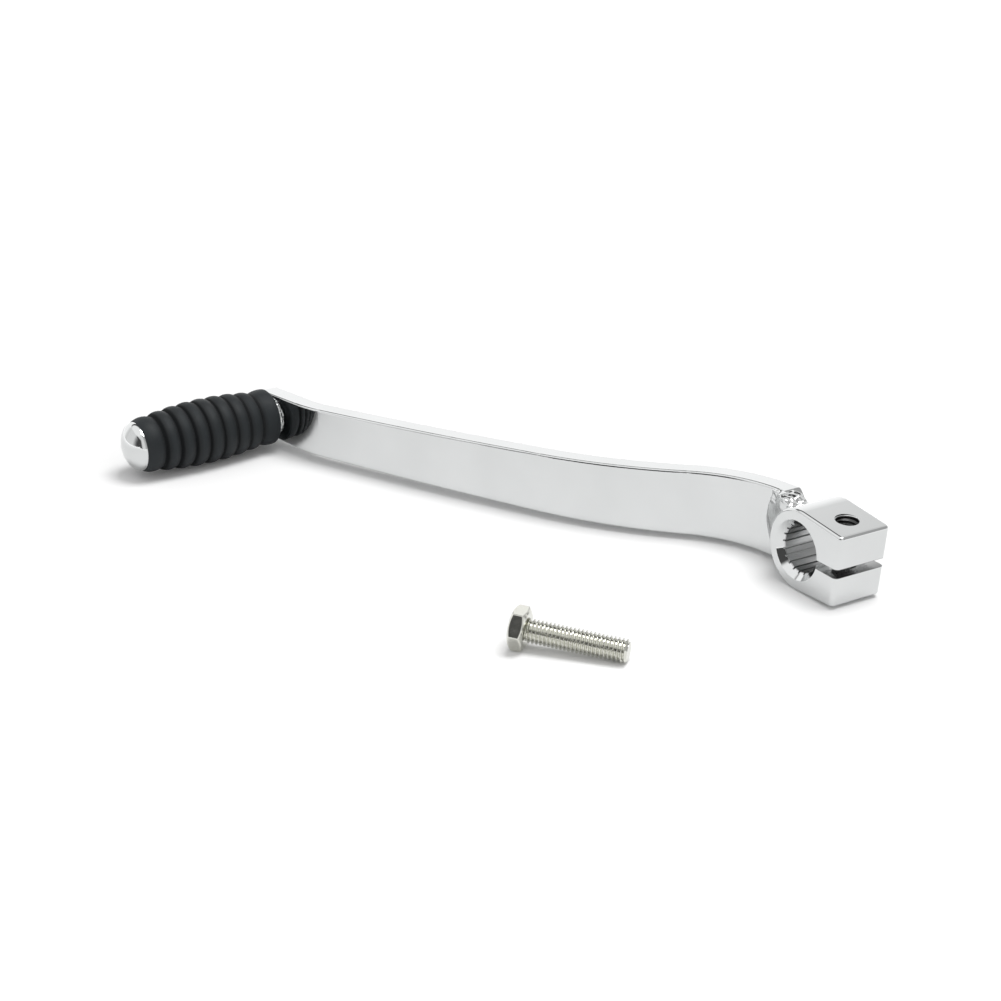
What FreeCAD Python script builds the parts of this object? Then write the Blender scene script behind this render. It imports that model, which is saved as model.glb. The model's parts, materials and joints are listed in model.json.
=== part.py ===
# Gear lever: a flat bent bar with a split serrated clamp at one end and a rubber toe peg at the other.
# The origin is the centre of the clamp's bore. +X runs from the bore towards the peg, +Y along the bore
# to the outboard side, where the peg points, and +Z up. Lengths are in millimetres, angles in degrees.
import FreeCAD, Part
import math
import os
import Sketcher

DRIVING_SIZES = {
    # split clamp
    "clamp_radius": 11.0,
    "clamp_width": 16.0,
    "ear_reach_top": 16.4,
    "ear_reach_bottom": 14.6,
    "ear_height_top": 9.4,
    "ear_height_bottom": 10.2,
    "clamp_edge_round": 0.85,
    "ear_corner_round": 1.2,
    "slit_width": 2.4,
    "slit_drop": 0.8,
    "spline_teeth": 20,
    "spline_tip_radius": 6.25,
    "spline_root_radius": 6.75,
    "spline_space_width": 0.9,
    "mouth_radius": 8.05,
    "mouth_depth": 1.8,
    "bolt_axis_reach": 9.3,
    "tapped_hole_width": 5.9,
    "bolt_hole_clearance": 0.5,
    "countersink_width": 6.4,
    # bent bar, its bends measured on the middle of its thickness; the long bend turns until the peg's
    # axis meets the bar at its reach
    "peg_reach": 163.7,
    "bar_thickness": 5.8,
    "bar_offset": 1.65,
    "bar_root_height": 19.6,
    "bar_tip_height": 13.8,
    "root_straight": 1.2,
    "root_bend_radius": 40.3,
    "root_bend_angle": 47.6,
    "shoulder_bend_radius": 128.5,
    "shoulder_bend_angle": 18.4,
    "long_bend_radius": 1035.0,
    "tip_bend_radius": 38.0,
    "tip_bend_angle": 14.0,
    "tip_straight": 13.2,
    "root_bevel": 3.4,
    "root_bevel_height": 4.0,
    "tip_overrun": 8.0,
    "tip_corner": 3.5,
    "bar_edge_round": 0.6,
    # toe peg and its rubber
    "peg_drop": 1.1,
    "peg_skew": 5.5,
    "peg_radius": 5.0,
    "peg_gap": 1.0,
    "dome_radius": 7.3,
    "dome_height": 4.2,
    "dome_edge": 2.4,
    "rib_count": 7,
    "rib_pitch": 4.72,
    "rib_depth": 0.8,
    "base_collar": 5.35,
    "base_collar_radius": 8.5,
    "tip_collar": 5.5,
    "tip_collar_radius": 8.25,
    "rubber_mid_radius": 9.85,
    "rubber_barrel": 2.3,
    "rubber_edge_bevel": 0.4,
    # weld beads
    "peg_weld_foot": 6.3,
    "peg_weld_top": 6.1,
    "boss_weld_leg": 8.5,
    "boss_weld_back_leg": 4.0,
    "boss_weld_front": 4.5,
    "boss_weld_back": 5.7,
    "boss_weld_toe": 0.8,
    "boss_weld_back_toe": 0.1,
    "boss_weld_hollow": 0.5,
    "boss_weld_back_hollow": 0.15,
    "boss_weld_crown": 8.7,
    "boss_weld_round": 10.0,
    "boss_weld_lift": 1.5,
    # clamp bolt, lying on the floor beside the lever
    "bolt_thread": 6.0,
    "bolt_length": 25.0,
    "bolt_head_flats": 9.8,
    "bolt_head_height": 4.0,
    "bolt_head_face": 8.6,
    "bolt_head_bevel": 30.0,
    "bolt_end_chamfer": 0.7,
    "bolt_place_x": 7.3,
    "bolt_place_y": 83.7,
    "bolt_turn": 221.3,
}

# Depth of a cut that goes right through any piece, and how far a cutting outline stands clear of it.
THROUGH = 400.0
CLEAR = 1.0
# Halvings of a range in a search, which bring it well below a micrometre.
HALVINGS = 60
# Share of an edge's length that has to lie along an axis for the edge to count as running that way.
MOSTLY = 0.9

doc = FreeCAD.newDocument("gear_lever")
sheet = doc.addObject("Spreadsheet::Sheet", "dims")
for row, (alias, value) in enumerate(DRIVING_SIZES.items(), start=1):
    sheet.set(f"A{row}", alias)
    sheet.set(f"B{row}", str(value))
    sheet.setAlias(f"B{row}", alias)
doc.recompute()

START, END, CENTRE = 1, 2, 3
ORIGIN = -1


def size(alias):
    return float(sheet.get(alias))


def vector(x, y):
    return FreeCAD.Vector(x, y, 0)


def new_body(label):
    body = doc.addObject("PartDesign::Body", label)
    body.Label = label
    return body


def new_sketch(body, name, plane):
    sketch = body.newObject("Sketcher::SketchObject", name)
    for feature in body.Origin.OriginFeatures:
        if feature.Role == plane:
            sketch.AttachmentSupport = [(feature, "")]
    sketch.MapMode = "FlatFace"
    return sketch


def constrain(sketch, expression, kind, *arguments):
    index = sketch.addConstraint(Sketcher.Constraint(kind, *arguments))
    sketch.setExpression(f"Constraints[{index}]", expression)
    return index


def pin(sketch, geometry, position, x_expression, y_expression):
    # Ties a point to the sheet, measured from the sketch's origin.
    point = sketch.getPoint(geometry, position)
    constrain(sketch, x_expression, "DistanceX", ORIGIN, START, geometry, position, point.x)
    constrain(sketch, y_expression, "DistanceY", ORIGIN, START, geometry, position, point.y)


def polygon(sketch, corners):
    # Closed outline from (x, y, x expression, y expression) corners.
    first = sketch.GeometryCount
    count = len(corners)
    for index in range(count):
        x0, y0 = corners[index][:2]
        x1, y1 = corners[(index + 1) % count][:2]
        sketch.addGeometry(Part.LineSegment(vector(x0, y0), vector(x1, y1)))
    for index in range(count):
        following = first + (index + 1) % count
        sketch.addConstraint(Sketcher.Constraint("Coincident", first + index, END, following, START))
    for index, corner in enumerate(corners):
        pin(sketch, first + index, START, corner[2], corner[3])
    return first


def bulged_outline(sketch, corners, bulges):
    # Closed anticlockwise outline of lines and arcs. An arc stands out by its bulge, or is hollow if
    # the bulge is below zero. The sketcher keeps every arc anticlockwise, so a hollow one runs backwards.
    first = sketch.GeometryCount
    count = len(corners)
    ends = []
    for index in range(count):
        start = vector(*corners[index][:2])
        end = vector(*corners[(index + 1) % count][:2])
        bulge = bulges[index][0] if index in bulges else 0
        ends.append((END, START) if bulge < 0 else (START, END))
        if bulge == 0:
            sketch.addGeometry(Part.LineSegment(start, end))
        else:
            chord = end - start
            outwards = vector(chord.y, -chord.x).normalize()
            crest = (start + end) * 0.5 + outwards * bulge
            way = (end, crest, start) if bulge < 0 else (start, crest, end)
            sketch.addGeometry(Part.Arc(*way))
    for index in range(count):
        following = (index + 1) % count
        sketch.addConstraint(Sketcher.Constraint(
            "Coincident", first + index, ends[index][1], first + following, ends[following][0]))
    for index, (x, y, x_expression, y_expression) in enumerate(corners):
        pin(sketch, first + index, ends[index][0], x_expression, y_expression)
        if index in bulges:
            next_x, next_y, next_x_expression, next_y_expression = corners[(index + 1) % count]
            bulge = abs(bulges[index][0])
            bulge_expression = bulges[index][1]
            radius = ((next_x - x) ** 2 + (next_y - y) ** 2) / (8 * bulge) + bulge / 2
            chord_expression = (f"(({next_x_expression} - ({x_expression})) ^ 2"
                                f" + ({next_y_expression} - ({y_expression})) ^ 2)")
            constrain(sketch, f"{chord_expression} / (8 * {bulge_expression}) + {bulge_expression} / 2",
                      "Radius", first + index, radius)


def circle(sketch, x, y, radius, x_expression, y_expression, radius_expression):
    index = sketch.addGeometry(Part.Circle(vector(x, y), FreeCAD.Vector(0, 0, 1), radius))
    constrain(sketch, radius_expression, "Radius", index, radius)
    pin(sketch, index, CENTRE, x_expression, y_expression)
    return index


def pad(body, name, sketch, length_expression):
    feature = body.newObject("PartDesign::Pad", name)
    feature.Profile = sketch
    feature.Midplane = True
    feature.setExpression("Length", length_expression)
    doc.recompute()
    return feature


def pocket_through(body, name, sketch):
    feature = body.newObject("PartDesign::Pocket", name)
    feature.Profile = sketch
    feature.Midplane = True
    feature.Type = "Length"
    feature.Length = THROUGH
    doc.recompute()
    return feature


def revolve(body, kind, name, sketch, axis):
    feature = body.newObject(f"PartDesign::{kind}", name)
    feature.Profile = sketch
    feature.ReferenceAxis = (sketch, [axis])
    feature.Angle = 360.0
    doc.recompute()
    return feature


def round_edges(body, name, base, edges, radius_expression):
    feature = body.newObject("PartDesign::Fillet", name)
    feature.Base = (base, edges)
    feature.setExpression("Radius", radius_expression)
    doc.recompute()
    return feature


# Values that several pieces share, worked out from the sheet.
BAR_FRONT = "(dims.bar_thickness / 2 - dims.bar_offset)"
BAR_BACK = "(-dims.bar_thickness / 2 - dims.bar_offset)"
RUBBER_LENGTH = "(dims.base_collar + dims.rib_count * dims.rib_pitch + dims.tip_collar)"

half_thickness = size("bar_thickness") / 2
rib_count = int(size("rib_count"))
rubber_length = size("base_collar") + rib_count * size("rib_pitch") + size("tip_collar")


def long_sweep():
    # Angle of the long bend, in radians, at which the outboard face's end lies at the peg's reach.
    bends = ("shoulder_bend", "long_bend", "tip_bend")
    outer = {name: size(f"{name}_radius") + half_thickness for name in bends}
    inner = size("root_bend_radius") - half_thickness
    root = math.radians(size("root_bend_angle"))
    shoulder = root - math.radians(size("shoulder_bend_angle"))
    start = (size("clamp_radius") + size("root_straight") + inner * math.sin(root)
             + outer["shoulder_bend"] * (math.sin(root) - math.sin(shoulder)))

    def reach(sweep):
        after = shoulder - sweep
        tip = after - math.radians(size("tip_bend_angle"))
        return (start + outer["long_bend"] * (math.sin(shoulder) - math.sin(after))
                + outer["tip_bend"] * (math.sin(after) - math.sin(tip))
                + size("tip_straight") * math.cos(tip))

    low, high = 0.0, shoulder
    if not reach(low) < size("peg_reach") < reach(high):
        raise RuntimeError("the bends can't bring the bar to the peg's reach")
    for _ in range(HALVINGS):
        middle = (low + high) / 2
        low, high = (middle, high) if reach(middle) < size("peg_reach") else (low, middle)
    return low


def bar_face(sketch, side, last_straight, last_expression, beside=None):
    # One long face of the bar as tangent lines and arcs, from the clamp to the peg.
    # side is +1 for the outboard face, which lies on the left of the way, and -1 for the inboard one,
    # whose end stays beside the outboard face's.
    offset = side * half_thickness
    point = vector(size("clamp_radius"), offset - size("bar_offset"))
    heading = 0.0
    bends = [("root_bend", 1), ("shoulder_bend", -1), ("long_bend", -1), ("tip_bend", -1)]
    along = vector(size("root_straight"), 0)
    first = sketch.addGeometry(Part.LineSegment(point, point + along))
    pin(sketch, first, START, "dims.clamp_radius", BAR_FRONT if side > 0 else BAR_BACK)
    sketch.addConstraint(Sketcher.Constraint("Horizontal", first))
    constrain(sketch, "dims.root_straight", "Distance", first, size("root_straight"))
    previous, previous_end = first, END
    point = point + along
    for name, turn in bends:
        radius = size(f"{name}_radius") - turn * offset
        sweep = long_sweep() if name == "long_bend" else math.radians(size(f"{name}_angle"))
        normal = vector(-math.sin(heading), math.cos(heading))
        centre = point + normal * (turn * radius)
        from_angle = heading - turn * math.pi / 2
        to_angle = from_angle + turn * sweep
        round_centre = Part.Circle(centre, FreeCAD.Vector(0, 0, 1), radius)
        low, high = sorted((from_angle, to_angle))
        arc = sketch.addGeometry(Part.ArcOfCircle(round_centre, low, high))
        arc_start, arc_end = (START, END) if turn > 0 else (END, START)
        sketch.addConstraint(Sketcher.Constraint("Tangent", previous, previous_end, arc, arc_start))
        sign = "-" if turn * side > 0 else "+"
        constrain(sketch, f"dims.{name}_radius {sign} dims.bar_thickness / 2", "Radius", arc, radius)
        if name != "long_bend":
            constrain(sketch, f"dims.{name}_angle * 1 deg", "Angle", arc, sweep)
        heading += turn * sweep
        point = centre + vector(math.cos(to_angle), math.sin(to_angle)) * radius
        previous, previous_end = arc, arc_end
    direction = vector(math.cos(heading), math.sin(heading))
    foot = point + direction * size("tip_straight")
    straight = sketch.addGeometry(Part.LineSegment(point, foot))
    sketch.addConstraint(Sketcher.Constraint("Tangent", previous, previous_end, straight, START))
    constrain(sketch, "dims.tip_straight", "Distance", straight, size("tip_straight"))
    if beside is None:
        constrain(sketch, "dims.peg_reach", "DistanceX", ORIGIN, START, straight, END, foot.x)
    else:
        sketch.addConstraint(Sketcher.Constraint("Parallel", beside, straight))
    finish = sketch.addGeometry(Part.LineSegment(foot, foot + direction * last_straight))
    sketch.addConstraint(Sketcher.Constraint("Tangent", straight, END, finish, START))
    constrain(sketch, last_expression, "Distance", finish, last_straight)
    return first, straight, finish


def bar_outline(sketch):
    # The bar seen from above. Returns the line that ends at the foot of the peg.
    reach = 2 * size("tip_overrun")
    reach_expression = "2 * dims.tip_overrun"
    front_first, front_straight, front_last = bar_face(sketch, 1, reach, reach_expression)
    back_first, _, back_last = bar_face(sketch, -1, reach, reach_expression, front_straight)
    for one, two, position in ((front_first, back_first, START), (front_last, back_last, END)):
        ends = sketch.getPoint(one, position), sketch.getPoint(two, position)
        cap = sketch.addGeometry(Part.LineSegment(*ends))
        sketch.addConstraint(Sketcher.Constraint("Coincident", cap, START, one, position))
        sketch.addConstraint(Sketcher.Constraint("Coincident", cap, END, two, position))
    return front_straight


def make_lever_bar():
    body = new_body("lever_bar")
    plan = new_sketch(body, "bar_plan", "XY_Plane")
    straight = bar_outline(plan)
    foot = plan.getPoint(straight, END)
    start = plan.getPoint(straight, START)
    heading = math.atan2(foot.y - start.y, foot.x - start.x)
    measures = {
        "peg_foot_y": Sketcher.Constraint("DistanceY", ORIGIN, START, straight, END, foot.y),
        "tip_heading": Sketcher.Constraint("Angle", straight, heading),
    }
    for name, measure in measures.items():
        index = plan.addConstraint(measure)
        plan.setDriving(index, False)
        plan.renameConstraint(index, name)
    stock = pad(body, "bar_stock", plan, "2 * dims.bar_root_height")

    # Taper of the top and bottom edges, bevels for the weld and the rounded end, seen from the side.
    side = new_sketch(body, "bar_side", "XZ_Plane")
    root_x = size("clamp_radius")
    bevel_x = root_x + size("root_bevel")
    tip_x = foot.x + size("tip_overrun")
    root_half = size("bar_root_height") / 2
    bevel_z = root_half - size("root_bevel_height")
    top = size("bar_tip_height") / 2 - size("peg_drop")
    bottom = -size("bar_tip_height") / 2 - size("peg_drop")
    corner = size("tip_corner")
    limit = size("bar_root_height") + CLEAR
    outer_x = tip_x + 2 * size("tip_overrun")
    root_expression = "dims.clamp_radius"
    bevel_expression = "dims.clamp_radius + dims.root_bevel"
    bevel_z_expression = "(dims.bar_root_height / 2 - dims.root_bevel_height)"
    tip_expression = "(dims.peg_reach + dims.tip_overrun)"
    top_expression = "(dims.bar_tip_height / 2 - dims.peg_drop)"
    bottom_expression = "(-dims.bar_tip_height / 2 - dims.peg_drop)"
    outer_expression = f"{tip_expression} + 2 * dims.tip_overrun"
    limit_expression = f"(dims.bar_root_height + {CLEAR})"
    outline = [
        (root_x, limit, root_expression, limit_expression),
        (root_x, bevel_z, root_expression, bevel_z_expression),
        (bevel_x, root_half, bevel_expression, "dims.bar_root_height / 2"),
        (tip_x - corner, top, f"{tip_expression} - dims.tip_corner", top_expression),
        (tip_x, top - corner, tip_expression, f"{top_expression} - dims.tip_corner"),
        (tip_x, bottom + corner, tip_expression, f"{bottom_expression} + dims.tip_corner"),
        (tip_x - corner, bottom, f"{tip_expression} - dims.tip_corner", bottom_expression),
        (bevel_x, -root_half, bevel_expression, "-dims.bar_root_height / 2"),
        (root_x, -bevel_z, root_expression, f"-{bevel_z_expression}"),
        (root_x, -limit, root_expression, f"-{limit_expression}"),
        (outer_x, -limit, outer_expression, f"-{limit_expression}"),
        (outer_x, limit, outer_expression, limit_expression),
    ]
    quarter = 1 - math.sqrt(0.5)
    rounding = -quarter * corner, f"((1 - sqrt(0.5)) * dims.tip_corner)"
    bulged_outline(side, outline, {3: rounding, 5: rounding})
    tapered = pocket_through(body, "bar_taper", side)
    if tapered.Shape.Volume >= stock.Shape.Volume:
        raise RuntimeError("the taper removed nothing from the bar's stock")
    long_edges = []
    for index, edge in enumerate(tapered.Shape.Edges, start=1):
        upright = edge.BoundBox.ZLength > MOSTLY * edge.Length
        at_root = edge.BoundBox.XMax < bevel_x + size("bar_edge_round")
        if not upright and not at_root:
            long_edges.append(f"Edge{index}")
    round_edges(body, "bar_rounds", tapered, long_edges, "dims.bar_edge_round")
    return body


def tangent_point(corner, radius, side):
    # Where the line from a corner touches a circle about the origin, above or below.
    distance = corner.Length
    towards = math.atan2(corner.y, corner.x)
    opening = math.acos(radius / distance)
    angle = towards - side * opening
    return vector(math.cos(angle), math.sin(angle)) * radius


def flat_height(x, start, end):
    share = (x - start.x) / (end.x - start.x)
    return start.y + share * (end.y - start.y)


def top_flat_expression(reach_expression):
    # The same height on the clamp's top flat, for the sheet: the flat's slope comes from its corner.
    reach, height, radius = "dims.ear_reach_top", "dims.ear_height_top", "dims.clamp_radius"
    slope = (f"tan(acos({radius} / sqrt({reach} ^ 2 + {height} ^ 2))"
             f" + atan({height} / {reach}) - 90 deg)")
    return f"({height} - ({reach} - {reach_expression}) * {slope})"


def upright(edge):
    return edge.BoundBox.ZLength > MOSTLY * edge.Length and edge.Curve.TypeId == "Part::GeomLine"


def smooth_seam(edge):
    # The two lines where the round back runs into the flats need no rounding.
    along_bore = edge.BoundBox.YLength > MOSTLY * edge.Length
    middle = edge.valueAt((edge.FirstParameter + edge.LastParameter) / 2)
    on_back = math.isclose(math.hypot(middle.x, middle.z), size("clamp_radius"), rel_tol=1e-4)
    return along_bore and on_back


def make_clamp_boss():
    body = new_body("clamp_boss")
    # Section across the bore: a round back, and flats that run on to the end of the ears.
    section = new_sketch(body, "clamp_section", "XZ_Plane")
    radius = size("clamp_radius")
    top_corner = vector(-size("ear_reach_top"), size("ear_height_top"))
    bottom_corner = vector(-size("ear_reach_bottom"), -size("ear_height_bottom"))
    top_touch = tangent_point(top_corner, radius, 1)
    bottom_touch = tangent_point(bottom_corner, radius, -1)
    full = Part.Circle(vector(0, 0), FreeCAD.Vector(0, 0, 1), radius)
    low = math.atan2(bottom_touch.y, bottom_touch.x)
    high = math.atan2(top_touch.y, top_touch.x)
    back = section.addGeometry(Part.ArcOfCircle(full, low, high))
    top = section.addGeometry(Part.LineSegment(top_touch, top_corner))
    end = section.addGeometry(Part.LineSegment(top_corner, bottom_corner))
    bottom = section.addGeometry(Part.LineSegment(bottom_corner, bottom_touch))
    section.addConstraint(Sketcher.Constraint("Coincident", back, CENTRE, ORIGIN, START))
    constrain(section, "dims.clamp_radius", "Radius", back, radius)
    section.addConstraint(Sketcher.Constraint("Tangent", back, END, top, START))
    section.addConstraint(Sketcher.Constraint("Coincident", top, END, end, START))
    section.addConstraint(Sketcher.Constraint("Coincident", end, END, bottom, START))
    section.addConstraint(Sketcher.Constraint("Tangent", bottom, END, back, START))
    pin(section, end, START, "-dims.ear_reach_top", "dims.ear_height_top")
    pin(section, end, END, "-dims.ear_reach_bottom", "-dims.ear_height_bottom")
    block = pad(body, "clamp_block", section, "dims.clamp_width")
    corners = [f"Edge{index}" for index, edge in enumerate(block.Shape.Edges, start=1) if upright(edge)]
    softened = round_edges(body, "ear_corners", block, corners, "dims.ear_corner_round")
    sharp = []
    for index, edge in enumerate(softened.Shape.Edges, start=1):
        if not upright(edge) and not smooth_seam(edge):
            sharp.append(f"Edge{index}")
    round_edges(body, "clamp_rounds", softened, sharp, "dims.clamp_edge_round")

    bore = new_sketch(body, "bore_circle", "XZ_Plane")
    circle(bore, 0, 0, size("spline_tip_radius"), "0", "0", "dims.spline_tip_radius")
    pocket_through(body, "bore", bore)

    # One space between two teeth, repeated round the bore.
    space = new_sketch(body, "tooth_space", "XZ_Plane")
    inner = size("spline_tip_radius") - CLEAR
    outer = size("spline_root_radius")
    wide = size("spline_space_width") / 2
    narrow = wide / 2
    wide_expression = "dims.spline_space_width / 2"
    narrow_expression = "dims.spline_space_width / 4"
    inner_expression = f"dims.spline_tip_radius - {CLEAR}"
    polygon(space, [
        (inner, -wide, inner_expression, f"-{wide_expression}"),
        (outer, -narrow, "dims.spline_root_radius", f"-{narrow_expression}"),
        (outer, narrow, "dims.spline_root_radius", narrow_expression),
        (inner, wide, inner_expression, wide_expression),
    ])
    first_space = pocket_through(body, "first_space", space)
    pattern = body.newObject("PartDesign::PolarPattern", "tooth_spaces")
    pattern.Originals = [first_space]
    pattern.Axis = (space, ["N_Axis"])
    pattern.Angle = 360.0
    pattern.setExpression("Occurrences", "dims.spline_teeth")
    body.Tip = pattern
    doc.recompute()

    slit = new_sketch(body, "slit_section", "XZ_Plane")
    slit_low = -size("slit_drop") - size("slit_width") / 2
    slit_high = -size("slit_drop") + size("slit_width") / 2
    far = 2 * size("ear_reach_top")
    near = size("spline_tip_radius") / 2
    far_expression = "-2 * dims.ear_reach_top"
    near_expression = "-dims.spline_tip_radius / 2"
    slit_low_expression = "-dims.slit_drop - dims.slit_width / 2"
    slit_high_expression = "-dims.slit_drop + dims.slit_width / 2"
    polygon(slit, [
        (-far, slit_low, far_expression, slit_low_expression),
        (-near, slit_low, near_expression, slit_low_expression),
        (-near, slit_high, near_expression, slit_high_expression),
        (-far, slit_high, far_expression, slit_high_expression),
    ])
    pocket_through(body, "slit", slit)

    # Conical lead-in at each end of the bore.
    lead = new_sketch(body, "lead_in", "XY_Plane")
    edge_y = size("clamp_width") / 2
    mouth = size("mouth_radius")
    tip = size("spline_tip_radius")
    deep = size("mouth_depth")
    for sign, mark in ((1, ""), (-1, "-")):
        polygon(lead, [
            (0, sign * edge_y, "0", f"{mark}dims.clamp_width / 2"),
            (mouth, sign * edge_y, "dims.mouth_radius", f"{mark}dims.clamp_width / 2"),
            (tip, sign * (edge_y - deep), "dims.spline_tip_radius",
             f"{mark}(dims.clamp_width / 2 - dims.mouth_depth)"),
            (0, sign * (edge_y - deep), "0", f"{mark}(dims.clamp_width / 2 - dims.mouth_depth)"),
        ])
    revolve(body, "Groove", "lead_ins", lead, "V_Axis")

    # Clamp bolt: tapped through the upper ear, with a countersink, and clear through the lower one.
    bolt = new_sketch(body, "bolt_hole_profile", "XZ_Plane")
    axis = -size("bolt_axis_reach")
    tap = size("tapped_hole_width") / 2
    clear = (size("bolt_thread") + size("bolt_hole_clearance")) / 2
    sink = size("countersink_width") / 2
    limit = radius + CLEAR
    surface = flat_height(axis, top_touch, top_corner)
    clear_expression = "(dims.bolt_thread + dims.bolt_hole_clearance) / 2"
    surface_expression = top_flat_expression("dims.bolt_axis_reach")
    sink_expression = "dims.countersink_width / 2"
    tap_expression = "dims.tapped_hole_width / 2"
    limit_expression = f"(dims.clamp_radius + {CLEAR})"
    x_of = "-dims.bolt_axis_reach + "
    profile = [
        (axis, -limit, "-dims.bolt_axis_reach", f"-{limit_expression}"),
        (axis + clear, -limit, x_of + clear_expression, f"-{limit_expression}"),
        (axis + clear, -size("slit_drop"), x_of + clear_expression, "-dims.slit_drop"),
        (axis + tap, -size("slit_drop"), x_of + tap_expression, "-dims.slit_drop"),
        (axis + tap, surface - (sink - tap), x_of + tap_expression,
         f"{surface_expression} - ({sink_expression} - {tap_expression})"),
        (axis + sink, surface, x_of + sink_expression, surface_expression),
        (axis + sink, limit, x_of + sink_expression, limit_expression),
        (axis, limit, "-dims.bolt_axis_reach", limit_expression),
    ]
    closing = polygon(bolt, profile) + len(profile) - 1
    centre_line = bolt.addGeometry(Part.LineSegment(vector(axis, -limit), vector(axis, limit)), True)
    bolt.addConstraint(Sketcher.Constraint("Coincident", centre_line, START, closing, END))
    bolt.addConstraint(Sketcher.Constraint("Coincident", centre_line, END, closing, START))
    before = body.Tip.Shape.Volume
    hole = revolve(body, "Groove", "bolt_hole", bolt, "Axis0")
    if hole.Shape.Volume >= before:
        raise RuntimeError("the bolt hole removed nothing")
    return body


def make_boss_weld():
    body = new_body("boss_weld")
    # Seen from above: as wide as the bead on the boss, narrowing in two hollow curves on to the bar.
    plan = new_sketch(body, "weld_plan", "XY_Plane")
    boss_x = size("clamp_radius")
    front_x = boss_x + size("boss_weld_leg")
    back_x = boss_x + size("boss_weld_back_leg")
    front = size("boss_weld_front")
    back = -size("boss_weld_back")
    front_toe = half_thickness - size("bar_offset") + size("boss_weld_toe")
    back_toe = -half_thickness - size("bar_offset") - size("boss_weld_back_toe")
    bulged_outline(plan, [
        (0, back, "0", "-dims.boss_weld_back"),
        (boss_x, back, "dims.clamp_radius", "-dims.boss_weld_back"),
        (back_x, back_toe, "dims.clamp_radius + dims.boss_weld_back_leg",
         f"{BAR_BACK} - dims.boss_weld_back_toe"),
        (front_x, front_toe, "dims.clamp_radius + dims.boss_weld_leg",
         f"{BAR_FRONT} + dims.boss_weld_toe"),
        (boss_x, front, "dims.clamp_radius", "dims.boss_weld_front"),
        (0, front, "0", "dims.boss_weld_front"),
    ], {
        1: (-size("boss_weld_back_hollow"), "dims.boss_weld_back_hollow"),
        3: (-size("boss_weld_hollow"), "dims.boss_weld_hollow"),
    })
    pad(body, "weld_stock", plan, "2 * dims.boss_weld_crown")
    bar = new_sketch(body, "weld_bar", "XY_Plane")
    bar_outline(bar)
    pocket_through(body, "weld_round_bar", bar)

    # Filling above and below the bar's bevels, as thick as the bar.
    fill = new_sketch(body, "weld_fill", "XZ_Plane")
    fill.setExpression("AttachmentOffset.Base.z", "dims.bar_offset")
    crown = size("boss_weld_crown")
    bevel_low = size("bar_root_height") / 2 - size("root_bevel_height")
    crown_x = boss_x + size("root_bevel") * (crown - bevel_low) / size("root_bevel_height")
    low_expression = "(dims.bar_root_height / 2 - dims.root_bevel_height)"
    crown_x_expression = (f"dims.clamp_radius + dims.root_bevel * (dims.boss_weld_crown - {low_expression})"
                          " / dims.root_bevel_height")
    for sign, mark in ((1, ""), (-1, "-")):
        polygon(fill, [
            (boss_x, sign * bevel_low, "dims.clamp_radius", f"{mark}{low_expression}"),
            (crown_x, sign * crown, crown_x_expression, f"{mark}dims.boss_weld_crown"),
            (boss_x / 2, sign * crown, "dims.clamp_radius / 2", f"{mark}dims.boss_weld_crown"),
            (boss_x / 2, sign * bevel_low, "dims.clamp_radius / 2", f"{mark}{low_expression}"),
        ])
    pad(body, "weld_filling", fill, "dims.bar_thickness")

    # The boss itself, and the rounded toe of the bead on the bar's faces.
    boss = new_sketch(body, "weld_boss", "XZ_Plane")
    circle(boss, 0, 0, boss_x, "0", "0", "dims.clamp_radius")
    pocket_through(body, "weld_on_boss", boss)
    toe = new_sketch(body, "weld_toe", "XZ_Plane")
    around = size("boss_weld_round")
    lift = size("boss_weld_lift")
    far = 2 * front_x
    centre_expression = "dims.clamp_radius + dims.boss_weld_leg - dims.boss_weld_round"
    far_expression = "2 * (dims.clamp_radius + dims.boss_weld_leg)"
    circle(toe, front_x - around, lift, around, centre_expression, "dims.boss_weld_lift",
           "dims.boss_weld_round")
    polygon(toe, [
        (-far, -far, f"-{far_expression}", f"-{far_expression}"),
        (far, -far, far_expression, f"-{far_expression}"),
        (far, far, far_expression, far_expression),
        (-far, far, f"-{far_expression}", far_expression),
    ])
    pocket_through(body, "weld_toes", toe)
    return body


def place_on_peg(body):
    # The peg's own frame: origin where its axis leaves the bar, +Y along the peg.
    body.setExpression("Placement.Base.x", "dims.peg_reach")
    body.setExpression("Placement.Base.y", "bar_plan.Constraints.peg_foot_y")
    body.setExpression("Placement.Base.z", "-dims.peg_drop")
    body.setExpression("Placement.Rotation.Angle", "dims.peg_skew * 1 deg")


def cut_to_bar(body, name):
    # Removes what lies behind the bar's outboard face, which crosses the peg's axis at a small angle.
    sketch = new_sketch(body, name, "XY_Plane")
    half = 2 * size("dome_radius")
    lean = math.tan(doc.bar_plan.getDatum("tip_heading").getValueAs("rad") - math.radians(size("peg_skew")))
    half_expression = "2 * dims.dome_radius"
    lean_expression = "tan(bar_plan.Constraints.tip_heading - dims.peg_skew * 1 deg)"
    polygon(sketch, [
        (-half, -half * lean, f"-{half_expression}", f"-{half_expression} * {lean_expression}"),
        (-half, -2 * half, f"-{half_expression}", f"-2 * {half_expression}"),
        (half, -2 * half, half_expression, f"-2 * {half_expression}"),
        (half, half * lean, half_expression, f"{half_expression} * {lean_expression}"),
    ])
    pocket_through(body, f"{name}_cut", sketch)


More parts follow.
